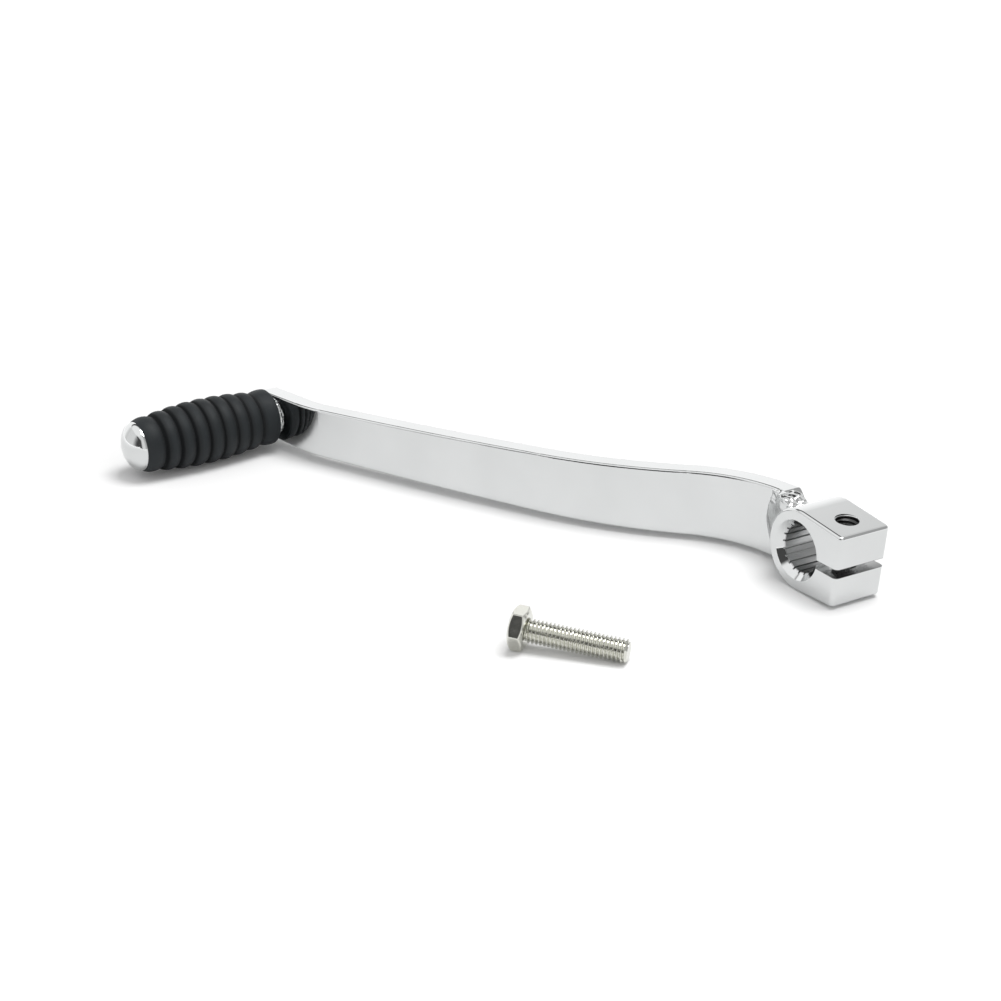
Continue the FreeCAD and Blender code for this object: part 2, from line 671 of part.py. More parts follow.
def make_toe_peg():
    body = new_body("toe_peg")
    # Half section of the peg: a plain rod with a button head, its axis on the sketch's upright.
    section = new_sketch(body, "peg_section", "XY_Plane")
    rod = size("peg_radius")
    head = size("peg_gap") + rubber_length
    dome = size("dome_radius")
    height = size("dome_height")
    edge = size("dome_edge")
    foot = -size("peg_gap")
    head_expression = f"(dims.peg_gap + {RUBBER_LENGTH})"
    foot_expression = "-dims.peg_gap"
    corners = [
        (0, head + height, "0", f"{head_expression} + dims.dome_height"),
        (0, foot, "0", foot_expression),
        (rod, foot, "dims.peg_radius", foot_expression),
        (rod, head, "dims.peg_radius", head_expression),
        (dome, head, "dims.dome_radius", head_expression),
    ]
    for (x0, y0, _, _), (x1, y1, _, _) in zip(corners, corners[1:]):
        section.addGeometry(Part.LineSegment(vector(x0, y0), vector(x1, y1)))
    # The crown and the edge are two arcs that touch, the edge square to the head's underside.
    crown = ((dome - edge) ** 2 + height ** 2 - edge ** 2) / (2 * (height - edge))
    crown_expression = ("((dims.dome_radius - dims.dome_edge) ^ 2 + dims.dome_height ^ 2"
                        " - dims.dome_edge ^ 2) / (2 * (dims.dome_height - dims.dome_edge))")
    meet = math.atan2(crown - height, dome - edge)
    edge_circle = Part.Circle(vector(dome - edge, head), FreeCAD.Vector(0, 0, 1), edge)
    crown_circle = Part.Circle(vector(0, head + height - crown), FreeCAD.Vector(0, 0, 1), crown)
    edge_arc = section.addGeometry(Part.ArcOfCircle(edge_circle, 0, meet))
    crown_arc = section.addGeometry(Part.ArcOfCircle(crown_circle, meet, math.pi / 2))
    for index in range(len(corners) - 2):
        section.addConstraint(Sketcher.Constraint("Coincident", index, END, index + 1, START))
    section.addConstraint(Sketcher.Constraint("Coincident", edge_arc - 1, END, edge_arc, START))
    section.addConstraint(Sketcher.Constraint("Tangent", edge_arc, END, crown_arc, START))
    section.addConstraint(Sketcher.Constraint("Coincident", crown_arc, END, 0, START))
    for index, corner in enumerate(corners[:-1]):
        pin(section, index, START, corner[2], corner[3])
    pin(section, edge_arc, CENTRE, "dims.dome_radius - dims.dome_edge", head_expression)
    constrain(section, corners[-1][2], "DistanceX", ORIGIN, START, edge_arc, START, dome)
    constrain(section, head_expression, "DistanceY", ORIGIN, START, edge_arc, START, head)
    constrain(section, crown_expression, "Radius", crown_arc, crown)
    revolve(body, "Revolution", "peg_turned", section, "V_Axis")
    cut_to_bar(body, "peg_foot")
    place_on_peg(body)
    return body


def make_peg_weld():
    body = new_body("peg_weld")
    # Half section of the bead: a cone from the bar's face to the end of the rubber, run on into the bar.
    section = new_sketch(body, "peg_weld_section", "XY_Plane")
    rod = size("peg_radius")
    gap = size("peg_gap")
    foot = size("peg_weld_foot")
    spread = foot - size("peg_weld_top")
    polygon(section, [
        (rod, gap, "dims.peg_radius", "dims.peg_gap"),
        (rod, -gap, "dims.peg_radius", "-dims.peg_gap"),
        (foot + spread, -gap, "2 * dims.peg_weld_foot - dims.peg_weld_top", "-dims.peg_gap"),
        (foot - spread, gap, "dims.peg_weld_top", "dims.peg_gap"),
    ])
    revolve(body, "Revolution", "peg_weld_bead", section, "V_Axis")
    cut_to_bar(body, "peg_weld_foot")
    place_on_peg(body)
    return body


def make_peg_rubber():
    body = new_body("peg_rubber")
    # Half section of the sleeve: two collars and the rounded ribs, which swell to a barrel.
    section = new_sketch(body, "rubber_section", "XY_Plane")
    start = size("peg_gap")
    middle = start + rubber_length / 2
    half_length = rubber_length / 2
    middle_expression = f"(dims.peg_gap + {RUBBER_LENGTH} / 2)"
    swell = (f"(dims.rubber_mid_radius - dims.rubber_barrel"
             f" * ((%s - {middle_expression}) / ({RUBBER_LENGTH} / 2)) ^ 2)")

    def barrel(y):
        return size("rubber_mid_radius") - size("rubber_barrel") * ((y - middle) / half_length) ** 2

    grooves = []
    for index in range(rib_count + 1):
        y = start + size("base_collar") + index * size("rib_pitch")
        y_expression = f"(dims.peg_gap + dims.base_collar + {index} * dims.rib_pitch)"
        radius_expression = f"{swell % y_expression} - dims.rib_depth"
        grooves.append((barrel(y) - size("rib_depth"), y, radius_expression, y_expression))
    end = start + rubber_length
    end_expression = f"(dims.peg_gap + {RUBBER_LENGTH})"
    bore = size("peg_radius")
    base = size("base_collar_radius")
    bevel = size("rubber_edge_bevel")
    rim = size("dome_radius")
    outline = [
        (bore, start, "dims.peg_radius", "dims.peg_gap"),
        (base - bevel, start, "dims.base_collar_radius - dims.rubber_edge_bevel", "dims.peg_gap"),
        (base, start + bevel, "dims.base_collar_radius", "dims.peg_gap + dims.rubber_edge_bevel"),
    ] + grooves + [
        (rim, end, "dims.dome_radius", end_expression),
        (bore, end, "dims.peg_radius", end_expression),
    ]
    first_groove = outline.index(grooves[0])
    last_groove = outline.index(grooves[-1])
    bulges = {first_groove - 1: (size("rib_depth") / 2, "dims.rib_depth / 2")}
    for index in range(first_groove, last_groove):
        bulges[index] = size("rib_depth"), "dims.rib_depth"
    tip_crest = size("tip_collar_radius") - (grooves[-1][0] + rim) / 2
    tip_crest_expression = f"(dims.tip_collar_radius - ({grooves[-1][2]} + dims.dome_radius) / 2)"
    bulges[last_groove] = tip_crest, tip_crest_expression
    bulged_outline(section, outline, bulges)
    revolve(body, "Revolution", "rubber_moulding", section, "V_Axis")
    place_on_peg(body)
    return body


def make_clamp_bolt():
    body = new_body("clamp_bolt")
    # Hexagon head behind the YZ plane and threaded shank in front of it, along +X.
    head = new_sketch(body, "bolt_head", "YZ_Plane")
    corner = size("bolt_head_flats") / math.sqrt(3)
    corners = []
    for index in range(6):
        angle = math.radians(60 * index)
        corners.append((corner * math.cos(angle), corner * math.sin(angle),
                        f"dims.bolt_head_flats / sqrt(3) * cos({60 * index} deg)",
                        f"dims.bolt_head_flats / sqrt(3) * sin({60 * index} deg)"))
    polygon(head, corners)
    block = body.newObject("PartDesign::Pad", "bolt_head_block")
    block.Profile = head
    block.Reversed = True
    block.setExpression("Length", "dims.bolt_head_height")
    doc.recompute()

    # Corners of the head turned off to a cone on both sides.
    turning = new_sketch(body, "bolt_head_turning", "XZ_Plane")
    tall = size("bolt_head_height")
    face = size("bolt_head_face") / 2
    reach = corner + CLEAR
    slope = math.tan(math.radians(size("bolt_head_bevel")))
    reach_expression = f"(dims.bolt_head_flats / sqrt(3) + {CLEAR})"
    polygon(turning, [
        (-tall, face, "-dims.bolt_head_height", "dims.bolt_head_face / 2"),
        (-tall + (reach - face) * slope, reach,
         f"-dims.bolt_head_height + ({reach_expression} - dims.bolt_head_face / 2)"
         " * tan(dims.bolt_head_bevel * 1 deg)", reach_expression),
        (-tall - CLEAR, reach, f"-dims.bolt_head_height - {CLEAR}", reach_expression),
        (-tall - CLEAR, face, f"-dims.bolt_head_height - {CLEAR}", "dims.bolt_head_face / 2"),
    ])
    polygon(turning, [
        (0, face, "0", "dims.bolt_head_face / 2"),
        (CLEAR, face, f"{CLEAR}", "dims.bolt_head_face / 2"),
        (CLEAR, reach, f"{CLEAR}", reach_expression),
        (-(reach - face) * slope, reach,
         f"-({reach_expression} - dims.bolt_head_face / 2) * tan(dims.bolt_head_bevel * 1 deg)",
         reach_expression),
    ])
    revolve(body, "Groove", "bolt_head_corners", turning, "H_Axis")

    shank = new_sketch(body, "bolt_shank_section", "XZ_Plane")
    length = size("bolt_length")
    radius = size("bolt_thread") / 2
    bevel = size("bolt_end_chamfer")
    polygon(shank, [
        (0, 0, "0", "0"),
        (length, 0, "dims.bolt_length", "0"),
        (length, radius - bevel, "dims.bolt_length", "dims.bolt_thread / 2 - dims.bolt_end_chamfer"),
        (length - bevel, radius, "dims.bolt_length - dims.bolt_end_chamfer", "dims.bolt_thread / 2"),
        (0, radius, "0", "dims.bolt_thread / 2"),
    ])
    revolve(body, "Revolution", "bolt_shank", shank, "H_Axis")

    # It lies on a flat of its head and on the end of its thread.
    head_half = size("bolt_head_flats") / 2
    tilt = math.atan2(head_half - radius, length - bevel)
    floor = -size("clamp_radius")
    height = floor + head_half * math.cos(tilt)
    turn = FreeCAD.Rotation(size("bolt_turn"), math.degrees(tilt), 0)
    body.Placement = FreeCAD.Placement(
        FreeCAD.Vector(size("bolt_place_x"), size("bolt_place_y"), height), turn)
    return body


bodies = [
    make_lever_bar(),
    make_clamp_boss(),
    make_boss_weld(),
    make_toe_peg(),
    make_peg_weld(),
    make_peg_rubber(),
    make_clamp_bolt(),
]
doc.recompute()

for item in doc.Objects:
    if "Invalid" in item.State or "Error" in item.State:
        raise RuntimeError(f"{item.Label} failed: {item.State}")
for body in bodies:
    if body.Shape.isNull() or not body.Shape.isValid():
        raise RuntimeError(f"{body.Label} has no valid shape")

os.makedirs("parts", exist_ok=True)
for body in bodies:
    body.Shape.exportStep(f"parts/{body.Label}.step")
    box = body.Shape.BoundBox
    print(body.Label, "solids", len(body.Shape.Solids), "volume", round(body.Shape.Volume, 1),
          "box", [round(value, 1) for value in
                  (box.XMin, box.YMin, box.ZMin, box.XMax, box.YMax, box.ZMax)])
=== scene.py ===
import json
import math

import bpy
import bmesh
from mathutils import Matrix, Vector, noise


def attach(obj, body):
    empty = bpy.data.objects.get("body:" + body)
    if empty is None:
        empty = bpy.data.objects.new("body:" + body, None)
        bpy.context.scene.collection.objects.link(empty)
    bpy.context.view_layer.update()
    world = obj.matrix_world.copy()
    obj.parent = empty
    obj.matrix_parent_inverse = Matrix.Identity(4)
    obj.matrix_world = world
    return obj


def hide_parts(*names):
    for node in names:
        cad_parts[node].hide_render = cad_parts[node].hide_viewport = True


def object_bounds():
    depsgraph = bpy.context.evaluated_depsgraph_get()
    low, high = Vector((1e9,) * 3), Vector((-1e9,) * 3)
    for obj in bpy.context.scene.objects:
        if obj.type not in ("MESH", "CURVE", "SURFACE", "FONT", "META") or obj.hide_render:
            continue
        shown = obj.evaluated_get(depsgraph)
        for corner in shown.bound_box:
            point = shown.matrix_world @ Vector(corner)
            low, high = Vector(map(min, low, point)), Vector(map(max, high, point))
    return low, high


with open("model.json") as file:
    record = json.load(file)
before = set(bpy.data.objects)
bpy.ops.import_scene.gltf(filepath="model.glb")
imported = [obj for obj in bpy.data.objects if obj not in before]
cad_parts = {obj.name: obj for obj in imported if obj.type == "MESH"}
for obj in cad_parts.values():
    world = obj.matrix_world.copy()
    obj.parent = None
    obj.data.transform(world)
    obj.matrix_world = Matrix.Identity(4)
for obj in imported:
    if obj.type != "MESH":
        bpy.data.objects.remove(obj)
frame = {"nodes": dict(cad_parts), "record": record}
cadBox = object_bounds()
nodes = frame["nodes"]
scene = bpy.context.scene
mm = 0.001
mergeReach = 0.001 * mm      # points closer than this are one
print("stage: frame loaded,", len(nodes), "nodes")

# camera, in the photo's square frame
cameraSet = {
    "place": (-319.8 * mm, 287.1 * mm, 188.75 * mm),
    "heading": -30.906,      # degrees from +X, seen from above
    "pitch": 22.725,         # degrees below level
    "focalPixels": 1800.0,
    "imagePixels": 1001.0,
    "sensor": 36.0,
    "clip": (0.01, 50.0),
}


def makeCamera(spec):
    data = bpy.data.cameras.new("camera")
    data.sensor_width = spec["sensor"]
    data.sensor_height = spec["sensor"]
    data.lens = spec["sensor"] * spec["focalPixels"] / spec["imagePixels"]
    data.clip_start, data.clip_end = spec["clip"]
    camera = bpy.data.objects.new("camera", data)
    heading = math.radians(spec["heading"])
    pitch = math.radians(spec["pitch"])
    level = math.cos(pitch)
    look = Vector((math.cos(heading) * level, math.sin(heading) * level, -math.sin(pitch)))
    camera.location = spec["place"]
    camera.rotation_euler = look.to_track_quat("-Z", "Y").to_euler()
    scene.collection.objects.link(camera)
    scene.camera = camera


makeCamera(cameraSet)

# node helpers


def newMaterial(name):
    material = bpy.data.materials.new(name)
    material.use_nodes = True
    tree = material.node_tree
    shader = tree.nodes["Principled BSDF"]
    return material, tree, shader


def noiseFrom(tree, scale, detail, harsh=0.5):
    coords = tree.nodes.new("ShaderNodeTexCoord")
    cloud = tree.nodes.new("ShaderNodeTexNoise")
    for name, value in (("Scale", scale), ("Detail", detail), ("Roughness", harsh)):
        cloud.inputs[name].default_value = value
    tree.links.new(coords.outputs["Object"], cloud.inputs["Vector"])
    return cloud.outputs["Fac"]


def mapRange(tree, value, low, high, start=0.0, end=1.0):
    node = tree.nodes.new("ShaderNodeMapRange")
    node.inputs["From Min"].default_value = start
    node.inputs["From Max"].default_value = end
    node.inputs["To Min"].default_value = low
    node.inputs["To Max"].default_value = high
    tree.links.new(value, node.inputs["Value"])
    return node.outputs["Result"]


def colourMix(tree, value, first, second):
    ramp = tree.nodes.new("ShaderNodeValToRGB")
    ramp.color_ramp.elements[0].color = (*first, 1)
    ramp.color_ramp.elements[1].color = (*second, 1)
    tree.links.new(value, ramp.inputs["Fac"])
    return ramp.outputs["Color"]


def tintedBlend(tree, share, fixed, colour):
    # a fixed colour where the share is 0, the given one where it is 1
    node = tree.nodes.new("ShaderNodeMix")
    node.data_type = "RGBA"
    first, second = (socket for socket in node.inputs if socket.type == "RGBA")
    first.default_value = (*fixed, 1)
    tree.links.new(share, node.inputs["Factor"])
    tree.links.new(colour, second)
    return [socket for socket in node.outputs if socket.type == "RGBA"][0]


def addBump(tree, shader, height, distance):
    bump = tree.nodes.new("ShaderNodeBump")
    bump.inputs["Distance"].default_value = distance
    tree.links.new(height, bump.inputs["Height"])
    tree.links.new(bump.outputs["Normal"], shader.inputs["Normal"])


def nodeMath(tree, operation, first, second=0.0, third=0.0):
    node = tree.nodes.new("ShaderNodeMath")
    node.operation = operation
    for index, value in enumerate((first, second, third)):
        if isinstance(value, (int, float)):
            node.inputs[index].default_value = value
        else:
            tree.links.new(value, node.inputs[index])
    return node.outputs[0]


def objectPlace(tree):
    coords = tree.nodes.new("ShaderNodeTexCoord")
    split = tree.nodes.new("ShaderNodeSeparateXYZ")
    tree.links.new(coords.outputs["Object"], split.inputs[0])
    return split.outputs[0], split.outputs[1], split.outputs[2]


def distanceFrom(tree, first, second):
    squares = [nodeMath(tree, "POWER", value, 2.0) for value in (first, second)]
    return nodeMath(tree, "SQRT", nodeMath(tree, "ADD", *squares))


cloudSpread = (0.3, 0.7)     # most of a noise texture's values lie between these

# bright plating: faint haze and a soft waviness from the polishing wheel
chromeSet = {
    "light": (0.68, 0.69, 0.69),
    "dull": (0.60, 0.61, 0.61),
    "hazeScale": 50.0,
    "hazeDetail": 3.0,
    "roughLow": 0.05,
    "roughHigh": 0.10,
    "waveScale": 160.0,
    "waveDetail": 1.0,
    "waveHeight": 0.004 * mm,
}


def makeChrome(spec, name="brightPlating"):
    material, tree, shader = newMaterial(name)
    haze = noiseFrom(tree, spec["hazeScale"], spec["hazeDetail"])
    colour = colourMix(tree, haze, spec["dull"], spec["light"])
    tree.links.new(colour, shader.inputs["Base Color"])
    shader.inputs["Metallic"].default_value = 1.0
    rough = mapRange(tree, haze, spec["roughLow"], spec["roughHigh"], *cloudSpread)
    tree.links.new(rough, shader.inputs["Roughness"])
    wave = noiseFrom(tree, spec["waveScale"], spec["waveDetail"])
    addBump(tree, shader, wave, spec["waveHeight"])
    return material, tree, shader, colour, rough


# the clamp's plating is painted darker in the bore, the slit and the bolt hole, as painted shade in these
# hollows, and is duller there
clampSet = {
    "boreRadius": 6.9 * mm,
    "boreDepth": 6.4 * mm,
    "slitMiddle": -0.8 * mm,
    "slitHalf": 1.3 * mm,
    "slitStart": -6.0 * mm,
    "earEnd": -16.0 * mm,
    "holeX": -9.3 * mm,
    "holeRadius": 3.05 * mm,
    "boreShadeShare": 0.30,          # how far each hollow is painted from bright to shaded
    "slitShadeShare": 0.75,
    "holeShadeShare": 0.95,
    # near-black colour painted into the hollows as shade
    "hollowShadeColour": (0.04, 0.04, 0.04),
    "hollowRough": 0.36,
    "boreRough": 0.30,
}


def makeClampPlating(spec):
    material, tree, shader, colour, rough = makeChrome(chromeSet, "clampPlating")
    x, y, z = objectPlace(tree)
    fromBore = distanceFrom(tree, x, z)
    inBore = nodeMath(tree, "MULTIPLY", nodeMath(tree, "LESS_THAN", fromBore, spec["boreRadius"]),
                      nodeMath(tree, "LESS_THAN", nodeMath(tree, "ABSOLUTE", y), spec["boreDepth"]))
    fromSlit = nodeMath(tree, "ABSOLUTE", nodeMath(tree, "SUBTRACT", z, spec["slitMiddle"]))
    slitShade = nodeMath(tree, "MULTIPLY", nodeMath(tree, "LESS_THAN", fromSlit, spec["slitHalf"]),
                      mapRange(tree, x, spec["slitShadeShare"], 0.0, spec["earEnd"], spec["slitStart"]))
    fromHole = distanceFrom(tree, nodeMath(tree, "SUBTRACT", x, spec["holeX"]), y)
    inHole = nodeMath(tree, "LESS_THAN", fromHole, spec["holeRadius"])
    # painted shade: the bore, the slit and the bolt hole are darkened, and made duller
    boreShade = nodeMath(tree, "MULTIPLY", inBore, spec["boreShadeShare"])
    holeShade = nodeMath(tree, "MULTIPLY", inHole, spec["holeShadeShare"])
    hollowShade = nodeMath(tree, "MAXIMUM", nodeMath(tree, "MAXIMUM", boreShade, slitShade), holeShade)
    bright = nodeMath(tree, "SUBTRACT", 1.0, hollowShade)
    tree.links.new(tintedBlend(tree, bright, spec["hollowShadeColour"], colour), shader.inputs["Base Color"])
    hollowRough = nodeMath(tree, "MULTIPLY", hollowShade, spec["hollowRough"])
    boreRough = nodeMath(tree, "MULTIPLY", inBore, spec["boreRough"])
    dulled = nodeMath(tree, "MAXIMUM", hollowRough, boreRough)
    tree.links.new(nodeMath(tree, "MAXIMUM", rough, dulled), shader.inputs["Roughness"])
    return material


rubberSet = {
    "dark": (0.009, 0.0115, 0.013),
    "pale": (0.018, 0.022, 0.025),
    # painted shade in the grooves between the ribs
    "grooveShade": (0.0025, 0.0033, 0.004),
    "grooveRough": 1.0,
    "pegWay": (-0.0958, 0.9954),  # the peg's direction in plan
    "firstGroove": 70.92 * mm,  # measured along the peg from the frame's origin
    "lastGroove": 102.98 * mm,
    "groovePitch": 4.58 * mm,
    "grooveHalf": (0.2 * mm, 1.8 * mm),
    "detail": 4.0,
    "grainHarsh": 0.6,
    "grainScale": 900.0,
    "cloudScale": 150.0,
    "grainHeight": 0.05 * mm,
    "roughLow": 0.50,
    "roughHigh": 0.70,
    "gloss": 0.28,
}


def makeRubber(spec):
    material, tree, shader = newMaterial("mouldedRubber")
    cloud = noiseFrom(tree, spec["cloudScale"], spec["detail"])
    # the grooves between the ribs are painted dark, as painted shade between the ribs, and stay dull
    x, y, _ = objectPlace(tree)
    along = nodeMath(tree, "ADD", nodeMath(tree, "MULTIPLY", x, spec["pegWay"][0]),
                     nodeMath(tree, "MULTIPLY", y, spec["pegWay"][1]))
    past = nodeMath(tree, "MAXIMUM", along, spec["firstGroove"])
    held = nodeMath(tree, "MINIMUM", past, spec["lastGroove"])
    passed = nodeMath(tree, "SUBTRACT", held, spec["firstGroove"])
    nearest = nodeMath(tree, "ROUND", nodeMath(tree, "DIVIDE", passed, spec["groovePitch"]))
    middle = nodeMath(tree, "MULTIPLY_ADD", nearest, spec["groovePitch"], spec["firstGroove"])
    offset = nodeMath(tree, "SUBTRACT", along, middle)
    clear = mapRange(tree, nodeMath(tree, "ABSOLUTE", offset), 0.0, 1.0, *spec["grooveHalf"])
    skin = colourMix(tree, cloud, spec["dark"], spec["pale"])
    tree.links.new(tintedBlend(tree, clear, spec["grooveShade"], skin), shader.inputs["Base Color"])
    rough = mapRange(tree, cloud, spec["roughLow"], spec["roughHigh"], *cloudSpread)
    dulled = nodeMath(tree, "MAXIMUM", rough, mapRange(tree, clear, spec["grooveRough"], 0.0))
    tree.links.new(dulled, shader.inputs["Roughness"])
    shader.inputs["Specular IOR Level"].default_value = spec["gloss"]
    grain = noiseFrom(tree, spec["grainScale"], spec["detail"], spec["grainHarsh"])
    addBump(tree, shader, grain, spec["grainHeight"])
    return material


zincSet = {
    "light": (0.72, 0.72, 0.67),
    "dull": (0.60, 0.60, 0.55),
    "hazeScale": 500.0,
    "hazeDetail": 4.0,
    "hazeHarsh": 0.6,
    "roughLow": 0.09,
    "roughHigh": 0.18,
    "waveHeight": 0.006 * mm,
}


def makeZinc(spec):
    material, tree, shader = newMaterial("zincPlating")
    haze = noiseFrom(tree, spec["hazeScale"], spec["hazeDetail"], spec["hazeHarsh"])
    tree.links.new(colourMix(tree, haze, spec["dull"], spec["light"]), shader.inputs["Base Color"])
    shader.inputs["Metallic"].default_value = 1.0
    rough = mapRange(tree, haze, spec["roughLow"], spec["roughHigh"], *cloudSpread)
    tree.links.new(rough, shader.inputs["Roughness"])
    addBump(tree, shader, haze, spec["waveHeight"])
    return material


chrome = makeChrome(chromeSet)[0]
clampChrome = makeClampPlating(clampSet)
rubber = makeRubber(rubberSet)
zinc = makeZinc(zincSet)
slotFinish = {"chrome": chrome, "rubber": rubber, "bolt": zinc}
for part in frame["record"]["subparts"]:
    nodes[part["node"]].data.materials.clear()
    nodes[part["node"]].data.materials.append(slotFinish[part["material_slot"]])
nodes["clamp_boss"].data.materials[0] = clampChrome
print("stage: finishes made")

# shared mesh tools


def newPiece(name, mesh, material):
    mesh.materials.clear()
    mesh.materials.append(material)
    piece = bpy.data.objects.new(name, mesh)
    scene.collection.objects.link(piece)
    return piece


def mergedCopy(nodeName):
    # a CAD node's mesh is loose triangles, so its copy is merged before anything else
    work = bmesh.new()
    work.from_mesh(nodes[nodeName].data)
    bmesh.ops.remove_doubles(work, verts=work.verts, dist=mergeReach)
    return work


def asMesh(work, name):
    mesh = bpy.data.meshes.new(name)
    for face in work.faces:
        face.smooth = True
    work.to_mesh(mesh)
    work.free()
    return mesh


def markSharp(work, degrees):
    work.normal_update()
    for edge in work.edges:
        edge.smooth = edge.is_manifold and edge.calc_face_angle() < math.radians(degrees)


def newTree(name, floats, wholes):
    tree = bpy.data.node_groups.new(name, "GeometryNodeTree")
    tree.is_modifier = True
    for label in floats:
        tree.interface.new_socket(name=label, in_out="INPUT", socket_type="NodeSocketFloat")
    for label in wholes:
        tree.interface.new_socket(name=label, in_out="INPUT", socket_type="NodeSocketInt")
    tree.interface.new_socket(name="Geometry", in_out="OUTPUT", socket_type="NodeSocketGeometry")
    return tree, tree.nodes.new("NodeGroupInput"), tree.nodes.new("NodeGroupOutput")


def finishTree(tree, output, mesh, position, material):
    # places the grid's points, closes its seam and ends in plain geometry with its finish
    move = tree.nodes.new("GeometryNodeSetPosition")
    join = tree.nodes.new("GeometryNodeMergeByDistance")
    join.inputs["Distance"].default_value = mergeReach
    realize = tree.nodes.new("GeometryNodeRealizeInstances")
    paint = tree.nodes.new("GeometryNodeSetMaterial")
    paint.inputs["Material"].default_value = material
    tree.links.new(mesh, move.inputs["Geometry"])
    tree.links.new(position, move.inputs["Position"])
    tree.links.new(move.outputs[0], join.inputs["Geometry"])
    tree.links.new(join.outputs[0], realize.inputs["Geometry"])
    tree.links.new(realize.outputs[0], paint.inputs["Geometry"])
    tree.links.new(paint.outputs[0], output.inputs[0])


def unitGrid(tree, across, around):
    # a grid from 0 to 1 both ways, and its two running values
    grid = tree.nodes.new("GeometryNodeMeshGrid")
    grid.inputs["Size X"].default_value = 1.0
    grid.inputs["Size Y"].default_value = 1.0
    tree.links.new(across, grid.inputs["Vertices X"])
    tree.links.new(around, grid.inputs["Vertices Y"])
    place = tree.nodes.new("GeometryNodeInputPosition")
    split = tree.nodes.new("ShaderNodeSeparateXYZ")
    tree.links.new(place.outputs[0], split.inputs[0])
    run = nodeMath(tree, "ADD", split.outputs[0], 0.5)
    turn = nodeMath(tree, "ADD", split.outputs[1], 0.5)
    return grid.outputs["Mesh"], run, turn


def joinPlace(tree, x, y, z):
    join = tree.nodes.new("ShaderNodeCombineXYZ")
    for index, value in enumerate((x, y, z)):
        tree.links.new(value, join.inputs[index])
    return join.outputs[0]


def bakeTree(tree, values):
    holder = bpy.data.objects.new("holder", bpy.data.meshes.new("holder"))
    scene.collection.objects.link(holder)
    modifier = holder.modifiers.new("nodes", "NODES")
    modifier.node_group = tree
    for item in tree.interface.items_tree:
        if item.item_type == "SOCKET" and item.in_out == "INPUT":
            modifier[item.identifier] = values[item.name]
    graph = bpy.context.evaluated_depsgraph_get()
    mesh = bpy.data.meshes.new_from_object(holder.evaluated_get(graph))
    holder.modifiers.remove(modifier)
    bpy.data.objects.remove(holder)
    work = bmesh.new()
    work.from_mesh(mesh)
    bmesh.ops.recalc_face_normals(work, faces=work.faces)
    return work


# clamp bolt: hexagon head from its solid, with eased edges, and a rolled thread
boltSet = {
    "place": (7.3 * mm, 83.7 * mm),
    "turn": 221.3,
    "floor": -11.0 * mm,
    "headFlats": 9.8 * mm,
    "headEnd": 0.02 * mm,       # faces beyond this belong to the shank
    "flatTurn": 2.0,            # faces that turn by less, in degrees, are one flat
    "cornerTurn": 22.0,         # edges that turn by more are eased
    "edgeEase": 0.24 * mm,
    "easeSteps": 2,
    "length": 25.0 * mm,
    "outerRadius": 3.0 * mm,
    "coreRadius": 2.36 * mm,
    "pitch": 1.0 * mm,
    "threadFlats": (0.14, 0.88),  # shares of the rise where the flank leaves the root and meets the crest
    "endChamfer": 0.7 * mm,
    "bury": 0.4 * mm,           # how far the shank starts inside the head
    "rowsPerTurn": 14,
    "sides": 72,
    "headSharp": 8.0,           # edges that turn by more than so many degrees stay crisp
    "threadSharp": 34.0,
}


def makeThreadTree(spec, material):
    lengths = ["Length", "Outer Radius", "Core Radius", "Pitch", "Chamfer"]
    tree, given, output = newTree("rolledThread", lengths, ["Rows", "Sides"])
    length = given.outputs["Length"]
    outer = given.outputs["Outer Radius"]
    core = given.outputs["Core Radius"]
    rows = given.outputs["Rows"]
    mesh, run, turn = unitGrid(tree, rows, given.outputs["Sides"])
    # one row beyond each end is drawn in to the axis, which closes the shank
    step = nodeMath(tree, "DIVIDE", length, nodeMath(tree, "SUBTRACT", rows, 3.0))
    reach = nodeMath(tree, "SUBTRACT", nodeMath(tree, "MULTIPLY", run, nodeMath(
        tree, "MULTIPLY", step, nodeMath(tree, "SUBTRACT", rows, 1.0))), step)
    along = nodeMath(tree, "MINIMUM", nodeMath(tree, "MAXIMUM", reach, 0.0), length)
    half = nodeMath(tree, "MULTIPLY", step, 0.5)
    begun = nodeMath(tree, "GREATER_THAN", nodeMath(tree, "ADD", reach, half), 0.0)
    unfinished = nodeMath(tree, "LESS_THAN", reach, nodeMath(tree, "ADD", length, half))
    inside = nodeMath(tree, "MULTIPLY", begun, unfinished)
    # flank: rises and falls once for each pitch, with a flat crest and a flat root
    phase = nodeMath(tree, "FRACT", nodeMath(
        tree, "SUBTRACT", nodeMath(tree, "DIVIDE", along, given.outputs["Pitch"]), turn))
    rise = nodeMath(tree, "SUBTRACT", 1.0, nodeMath(tree, "ABSOLUTE", nodeMath(
        tree, "SUBTRACT", nodeMath(tree, "MULTIPLY", phase, 2.0), 1.0)))
    flank = mapRange(tree, rise, 0.0, 1.0, *spec["threadFlats"])
    depth = nodeMath(tree, "SUBTRACT", outer, core)
    thread = nodeMath(tree, "ADD", core, nodeMath(tree, "MULTIPLY", flank, depth))
    cone = nodeMath(tree, "ADD", nodeMath(tree, "SUBTRACT", outer, given.outputs["Chamfer"]),
                    nodeMath(tree, "SUBTRACT", length, along))
    radius = nodeMath(tree, "MULTIPLY", nodeMath(tree, "MINIMUM", thread, cone), inside)
    angle = nodeMath(tree, "MULTIPLY", turn, 2 * math.pi)
    across = nodeMath(tree, "MULTIPLY", radius, nodeMath(tree, "COSINE", angle))
    up = nodeMath(tree, "MULTIPLY", radius, nodeMath(tree, "SINE", angle))
    position = joinPlace(tree, along, across, up)
    finishTree(tree, output, mesh, position, material)
    return tree


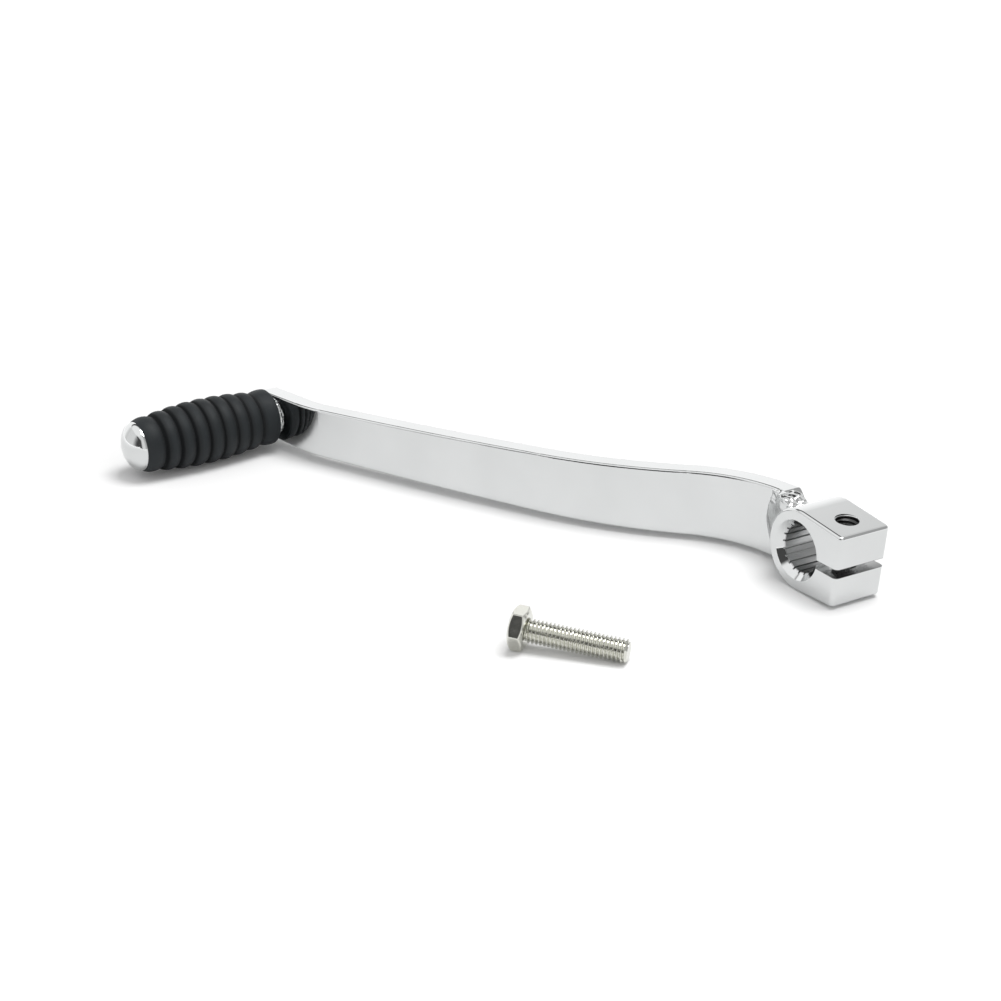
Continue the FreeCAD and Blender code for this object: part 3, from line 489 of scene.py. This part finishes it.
def makeBolt(spec):
    tilt = math.atan2(spec["headFlats"] / 2 - spec["outerRadius"], spec["length"] - spec["endChamfer"])
    height = spec["floor"] + spec["headFlats"] / 2 * math.cos(tilt)
    turn = Matrix.Rotation(math.radians(spec["turn"]), 4, "Z")
    seat = Matrix.Translation((*spec["place"], height)) @ turn @ Matrix.Rotation(tilt, 4, "Y")
    head = mergedCopy("clamp_bolt")
    bmesh.ops.transform(head, matrix=seat.inverted(), verts=head.verts)
    shankFaces = [face for face in head.faces if face.calc_center_median().x > spec["headEnd"]]
    bmesh.ops.delete(head, geom=shankFaces, context="FACES")
    rim = [edge for edge in head.edges if edge.is_boundary]
    bmesh.ops.contextual_create(head, geom=rim)
    flatTurn = math.radians(spec["flatTurn"])
    bmesh.ops.dissolve_limit(head, angle_limit=flatTurn, verts=head.verts, edges=head.edges)
    cornerTurn = math.radians(spec["cornerTurn"])
    corners = [edge for edge in head.edges if edge.is_manifold and edge.calc_face_angle() > cornerTurn]
    bmesh.ops.bevel(head, geom=corners, offset=spec["edgeEase"], segments=spec["easeSteps"],
                    profile=0.5, affect="EDGES", clamp_overlap=True)
    shankLength = spec["length"] + spec["bury"]
    turns = shankLength / spec["pitch"]
    shank = bakeTree(makeThreadTree(spec, zinc), {
        "Length": shankLength, "Outer Radius": spec["outerRadius"], "Core Radius": spec["coreRadius"],
        "Pitch": spec["pitch"], "Chamfer": spec["endChamfer"], "Rows": int(turns * spec["rowsPerTurn"]),
        "Sides": spec["sides"] + 1})
    bmesh.ops.translate(shank, vec=(-spec["bury"], 0, 0), verts=shank.verts)
    markSharp(head, spec["headSharp"])
    markSharp(shank, spec["threadSharp"])
    head.from_mesh(asMesh(shank, "shank"))
    bmesh.ops.transform(head, matrix=seat, verts=head.verts)
    bolt = newPiece("clampBolt", asMesh(head, "clampBolt"), zinc)
    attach(bolt, "root")
    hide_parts("clamp_bolt")
    print("stage: bolt made,", len(bolt.data.polygons), "faces")


# thread in the upper ear: a ridge wound up the hole's wall
tapSet = {
    "wallRadius": 2.97 * mm,
    "crestRadius": 2.5 * mm,
    "halfWidth": 0.42 * mm,
    "pitch": 1.0 * mm,
    "start": 0.95 * mm,
    "turns": 8.2,
    "fade": 0.3,                # share of a turn over which each end fades out
    "stepsPerTurn": 48,
    "sharp": 40.0,
    "axisX": -9.3 * mm,
}


def makeRidgeTree(material):
    lengths = ["Wall Radius", "Crest Radius", "Half Width", "Pitch", "Turns", "Fade"]
    tree, given, output = newTree("tappedTurns", lengths, ["Steps", "Corners"])
    mesh, run, turn = unitGrid(tree, given.outputs["Steps"], given.outputs["Corners"])
    turns = given.outputs["Turns"]
    wound = nodeMath(tree, "MULTIPLY", run, turns)
    # the ridge fades in and out over its first and last part of a turn
    fromEnd = nodeMath(tree, "MINIMUM", wound, nodeMath(tree, "SUBTRACT", turns, wound))
    fade = nodeMath(tree, "MINIMUM", nodeMath(tree, "DIVIDE", fromEnd, given.outputs["Fade"]), 1.0)
    corner = nodeMath(tree, "ROUND", nodeMath(tree, "MULTIPLY", turn, 3.0))
    atCrest = nodeMath(tree, "COMPARE", corner, 1.0, 0.1)
    atTop = nodeMath(tree, "COMPARE", corner, 2.0, 0.1)
    atFoot = nodeMath(tree, "SUBTRACT", nodeMath(tree, "SUBTRACT", 1.0, atCrest), atTop)
    depth = nodeMath(tree, "SUBTRACT", given.outputs["Wall Radius"], given.outputs["Crest Radius"])
    inwards = nodeMath(tree, "MULTIPLY", nodeMath(tree, "MULTIPLY", depth, atCrest), fade)
    radius = nodeMath(tree, "SUBTRACT", given.outputs["Wall Radius"], inwards)
    side = nodeMath(tree, "MULTIPLY", nodeMath(tree, "SUBTRACT", atTop, atFoot),
                    nodeMath(tree, "MULTIPLY", given.outputs["Half Width"], fade))
    up = nodeMath(tree, "ADD", nodeMath(tree, "MULTIPLY", wound, given.outputs["Pitch"]), side)
    angle = nodeMath(tree, "MULTIPLY", wound, 2 * math.pi)
    across = nodeMath(tree, "MULTIPLY", radius, nodeMath(tree, "COSINE", angle))
    along = nodeMath(tree, "MULTIPLY", radius, nodeMath(tree, "SINE", angle))
    position = joinPlace(tree, across, along, up)
    finishTree(tree, output, mesh, position, material)
    return tree


def makeTappedThread(spec):
    ridge = bakeTree(makeRidgeTree(clampChrome), {
        "Wall Radius": spec["wallRadius"], "Crest Radius": spec["crestRadius"],
        "Half Width": spec["halfWidth"], "Pitch": spec["pitch"], "Turns": spec["turns"],
        "Fade": spec["fade"], "Steps": int(spec["turns"] * spec["stepsPerTurn"]), "Corners": 4})
    bmesh.ops.translate(ridge, vec=(spec["axisX"], 0, spec["start"]), verts=ridge.verts)
    markSharp(ridge, spec["sharp"])
    thread = newPiece("tappedThread", asMesh(ridge, "tappedThread"), clampChrome)
    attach(thread, "root")
    print("stage: tapped hole threaded,", len(thread.data.polygons), "faces")


# weld beads: the solid's form, with the crumpled skin of plated weld metal where it was left rough
bossWeldSet = {
    "voxel": 0.17 * mm,
    "smoothing": 4,
    "roughFrom": 5.6 * mm,       # height above and below the middle where the rough skin starts
    "roughFull": 7.2 * mm,
    "frontFrom": -3.0 * mm,      # the back of the bead was ground smooth
    "frontFull": -1.2 * mm,
    "lump": (560.0, 0.60 * mm),
    "crease": (1050.0, 0.13 * mm),
    "shift": (0.74, 1.42, 0.26),  # slides the lumps so that one lies over the bar's end
    "swell": 0.10 * mm,
    "crestFrom": 6.6 * mm,       # the bead climbs over the bar's bevelled end
    "crestFull": 8.4 * mm,
    "crestLift": 1.15 * mm,
    "crestStart": 7.6 * mm,
    "crestEnd": 9.4 * mm,
    "backSink": 2.4 * mm,        # the bead lies lower behind the bar
    "backFrom": 3.0 * mm,
}
pegWeldSet = {
    "voxel": 0.15 * mm,
    "smoothing": 1,
    "lump": (1100.0, 0.26 * mm),
    "crease": (2400.0, 0.12 * mm),
    "shift": (0.0, 0.0, 0.0),
    "swell": 0.05 * mm,
}


def remeshed(nodeName, voxel):
    holder = bpy.data.objects.new("holder", asMesh(mergedCopy(nodeName), "holder"))
    scene.collection.objects.link(holder)
    modifier = holder.modifiers.new("remesh", "REMESH")
    modifier.mode = "VOXEL"
    modifier.voxel_size = voxel
    graph = bpy.context.evaluated_depsgraph_get()
    mesh = bpy.data.meshes.new_from_object(holder.evaluated_get(graph))
    holder.modifiers.remove(modifier)
    bpy.data.objects.remove(holder)
    work = bmesh.new()
    work.from_mesh(mesh)
    return work


def crumple(work, spec, share):
    for _ in range(spec["smoothing"]):
        bmesh.ops.smooth_vert(work, verts=work.verts, factor=0.5,
                              use_axis_x=True, use_axis_y=True, use_axis_z=True)
    work.normal_update()
    shift = Vector(spec["shift"])
    moves = []
    for vert in work.verts:
        weight = share(vert.co)
        height = spec["swell"]
        for scale, depth in (spec["lump"], spec["crease"]):
            height += depth * noise.noise(vert.co * scale + shift)
        moves.append(vert.normal * (weight * height))
    for vert, move in zip(work.verts, moves):
        vert.co += move
    work.normal_update()


def easedShare(value, start, full):
    t = min(max((value - start) / (full - start), 0.0), 1.0)
    return t * t * (3 - 2 * t)


def makeBossWeld(spec):
    work = remeshed("boss_weld", spec["voxel"])

    def share(place):
        high = easedShare(abs(place.z), spec["roughFrom"], spec["roughFull"])
        return high * easedShare(place.y, spec["frontFrom"], spec["frontFull"])

    for vert in work.verts:
        front = easedShare(vert.co.y, spec["frontFrom"], spec["frontFull"])
        climb = easedShare(vert.co.z, spec["crestFrom"], spec["crestFull"])
        climb *= easedShare(vert.co.x, spec["crestStart"], spec["crestEnd"])
        sink = easedShare(vert.co.z, spec["backFrom"], spec["crestFull"])
        vert.co.z += spec["crestLift"] * climb * front - spec["backSink"] * sink * (1 - front)
    crumple(work, spec, share)
    weld = newPiece("bossWeldBead", asMesh(work, "bossWeldBead"), chrome)
    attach(weld, "root")
    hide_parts("boss_weld")
    print("stage: boss weld made,", len(weld.data.polygons), "faces")


def makePegWeld(spec):
    work = remeshed("peg_weld", spec["voxel"])
    crumple(work, spec, lambda place: 1.0)
    weld = newPiece("pegWeldBead", asMesh(work, "pegWeldBead"), chrome)
    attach(weld, "root")
    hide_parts("peg_weld")
    print("stage: peg weld made,", len(weld.data.polygons), "faces")


makeBolt(boltSet)
makeTappedThread(tapSet)
makeBossWeld(bossWeldSet)
makePegWeld(pegWeldSet)

# floor, lamps and surroundings
studioSet = {
    "floorSize": 6.0,
    "floorColour": (0.92, 0.92, 0.92),
    "floorLift": (0.03, 0.60),  # glow for the camera and reflections, near the object and far off
    "liftReach": (0.16, 0.42),
    "middle": (0.08, 0.04, 0.0),
    "skyLight": (0.24, 0.78),   # far and near side
    "skyWay": (-0.82, 0.49, 0.30),
    "skySpread": (-0.7, 0.7),
    "backdrop": 1.28,           # white sweep behind the object, as polished metal sees it
    "backdropWay": -5.0,
    "backdropHalf": 45.5,
    "backdropTop": 33.0,
    "backdropSoft": (0.12, 0.02),
    "ceilingLevel": 0.08,       # dim gap between the sweep's top and the lamp
    "overhead": 1.2,
    "overheadWay": (0.211, 0.366, 0.906),
    "overheadSpread": (31.0, 38.0),
    "roomLevel": 0.95,
    "darkLevel": 0.08,          # unlit corner of the room behind the camera
    "darkWay": 113.0,
    "darkHalf": 26.0,
    "darkTop": 38.0,
    "darkSoft": (0.06, 0.05),
    "sideWay": 230.3,
    "sideHalf": 45.0,
    "sideSoft": 0.15,
    "sideLevel": 0.50,
    "groundTop": -0.9,          # white below this, in degrees
    "groundSoft": 0.025,
    "lampSize": 0.55,
    "lampPower": 8.3,
    "lampPlace": (-0.06, -0.2, 1.1),
}


def makeFloor(spec):
    half = spec["floorSize"] / 2
    low = cadBox[0][2]
    mesh = bpy.data.meshes.new("floor")
    corners = [(-half, -half, low), (half, -half, low), (half, half, low), (-half, half, low)]
    mesh.from_pydata(corners, [], [(0, 1, 2, 3)])
    floor = bpy.data.objects.new("floor", mesh)
    scene.collection.objects.link(floor)
    material, tree, shader = newMaterial("floorPaper")
    shader.inputs["Base Color"].default_value = (*spec["floorColour"], 1)
    shader.inputs["Roughness"].default_value = 1.0
    shader.inputs["Specular IOR Level"].default_value = 0.0
    path = tree.nodes.new("ShaderNodeLightPath")
    seen = nodeMath(tree, "MAXIMUM", path.outputs["Is Camera Ray"], path.outputs["Is Glossy Ray"])
    seen = nodeMath(tree, "MAXIMUM", seen, path.outputs["Is Transmission Ray"])
    shader.inputs["Emission Color"].default_value = (1, 1, 1, 1)
    x, y, _ = objectPlace(tree)
    away = distanceFrom(tree, nodeMath(tree, "SUBTRACT", x, spec["middle"][0]),
                        nodeMath(tree, "SUBTRACT", y, spec["middle"][1]))
    lift = mapRange(tree, away, *spec["floorLift"], *spec["liftReach"])
    tree.links.new(nodeMath(tree, "MULTIPLY", seen, lift), shader.inputs["Emission Strength"])
    mesh.materials.append(material)


def blendValue(tree, share, low, high):
    # low where the share is 0, high where it is 1
    node = tree.nodes.new("ShaderNodeMix")
    for index, value in ((0, share), (2, low), (3, high)):
        if isinstance(value, (int, float)):
            node.inputs[index].default_value = value
        else:
            tree.links.new(value, node.inputs[index])
    return node.outputs[0]


def makeWorld(spec):
    world = bpy.data.worlds.new("studio")
    world.use_nodes = True
    scene.world = world
    tree = world.node_tree
    background = tree.nodes["Background"]
    output = tree.nodes["World Output"]
    background.inputs["Color"].default_value = (1, 1, 1, 1)
    # dull surfaces get a soft light, mostly from the near side; polished metal sees a lit sweep behind,
    # a lamp overhead and a room with one dark corner
    coords = tree.nodes.new("ShaderNodeTexCoord")
    way = coords.outputs["Generated"]
    split = tree.nodes.new("ShaderNodeSeparateXYZ")
    tree.links.new(way, split.inputs[0])
    rise = split.outputs[2]
    flat = nodeMath(tree, "SQRT", nodeMath(tree, "MAXIMUM", nodeMath(
        tree, "SUBTRACT", 1.0, nodeMath(tree, "POWER", rise, 2.0)), 0.0001))

    def along(direction):
        dot = tree.nodes.new("ShaderNodeVectorMath")
        dot.operation = "DOT_PRODUCT"
        dot.inputs[1].default_value = direction
        tree.links.new(way, dot.inputs[0])
        return dot.outputs["Value"]

    skyWay = Vector(spec["skyWay"]).normalized()
    near = mapRange(tree, along(skyWay), *spec["skyLight"], *spec["skySpread"])
    tree.links.new(near, background.inputs["Strength"])

    def towards(degrees, half, soft):
        # 1 within so many degrees of a heading, seen from above
        heading = math.radians(degrees)
        edge = math.cos(math.radians(half))
        level = nodeMath(tree, "DIVIDE", along((math.cos(heading), math.sin(heading), 0)), flat)
        return mapRange(tree, level, 0.0, 1.0, edge - soft, edge + soft)

    def under(degrees, soft):
        top = math.sin(math.radians(degrees))
        return mapRange(tree, rise, 1.0, 0.0, top - soft, top + soft)

    sideSoft, topSoft = spec["backdropSoft"]
    ahead = towards(spec["backdropWay"], spec["backdropHalf"], sideSoft)
    backdrop = nodeMath(tree, "MULTIPLY", ahead, under(spec["backdropTop"], topSoft))
    sideSoft, topSoft = spec["darkSoft"]
    corner = towards(spec["darkWay"], spec["darkHalf"], sideSoft)
    dark = nodeMath(tree, "MULTIPLY", corner, under(spec["darkTop"], topSoft))
    full, gone = (math.cos(math.radians(angle)) for angle in spec["overheadSpread"])
    overhead = mapRange(tree, along(Vector(spec["overheadWay"]).normalized()), 0.0, 1.0, gone, full)
    side = towards(spec["sideWay"], spec["sideHalf"], spec["sideSoft"])
    seen = blendValue(tree, side, spec["roomLevel"], spec["sideLevel"])
    seen = blendValue(tree, dark, seen, spec["darkLevel"])
    seen = blendValue(tree, ahead, seen, spec["ceilingLevel"])
    seen = blendValue(tree, backdrop, seen, spec["backdrop"])
    seen = blendValue(tree, overhead, seen, spec["overhead"])
    seen = blendValue(tree, under(spec["groundTop"], spec["groundSoft"]), seen, 1.0)
    reflected = tree.nodes.new("ShaderNodeBackground")
    reflected.inputs["Color"].default_value = (1, 1, 1, 1)
    tree.links.new(seen, reflected.inputs["Strength"])
    white = tree.nodes.new("ShaderNodeBackground")
    white.inputs["Color"].default_value = (1, 1, 1, 1)
    white.inputs["Strength"].default_value = 1.0
    path = tree.nodes.new("ShaderNodeLightPath")
    shiny = nodeMath(tree, "MAXIMUM", path.outputs["Is Glossy Ray"], path.outputs["Is Transmission Ray"])
    first = tree.nodes.new("ShaderNodeMixShader")
    second = tree.nodes.new("ShaderNodeMixShader")
    tree.links.new(shiny, first.inputs["Fac"])
    tree.links.new(background.outputs[0], first.inputs[1])
    tree.links.new(reflected.outputs[0], first.inputs[2])
    tree.links.new(path.outputs["Is Camera Ray"], second.inputs["Fac"])
    tree.links.new(first.outputs[0], second.inputs[1])
    tree.links.new(white.outputs[0], second.inputs[2])
    tree.links.new(second.outputs[0], output.inputs["Surface"])


def makeLamp(spec):
    data = bpy.data.lights.new("softLamp", "AREA")
    data.shape = "SQUARE"
    data.size = spec["lampSize"]
    data.energy = spec["lampPower"]
    lamp = bpy.data.objects.new("softLamp", data)
    lamp.location = spec["lampPlace"]
    aim = Vector(spec["middle"]) - lamp.location
    lamp.rotation_euler = aim.to_track_quat("-Z", "Y").to_euler()
    scene.collection.objects.link(lamp)


makeFloor(studioSet)
makeWorld(studioSet)
makeLamp(studioSet)
scene.view_settings.view_transform = "Standard"
print("stage: studio made")
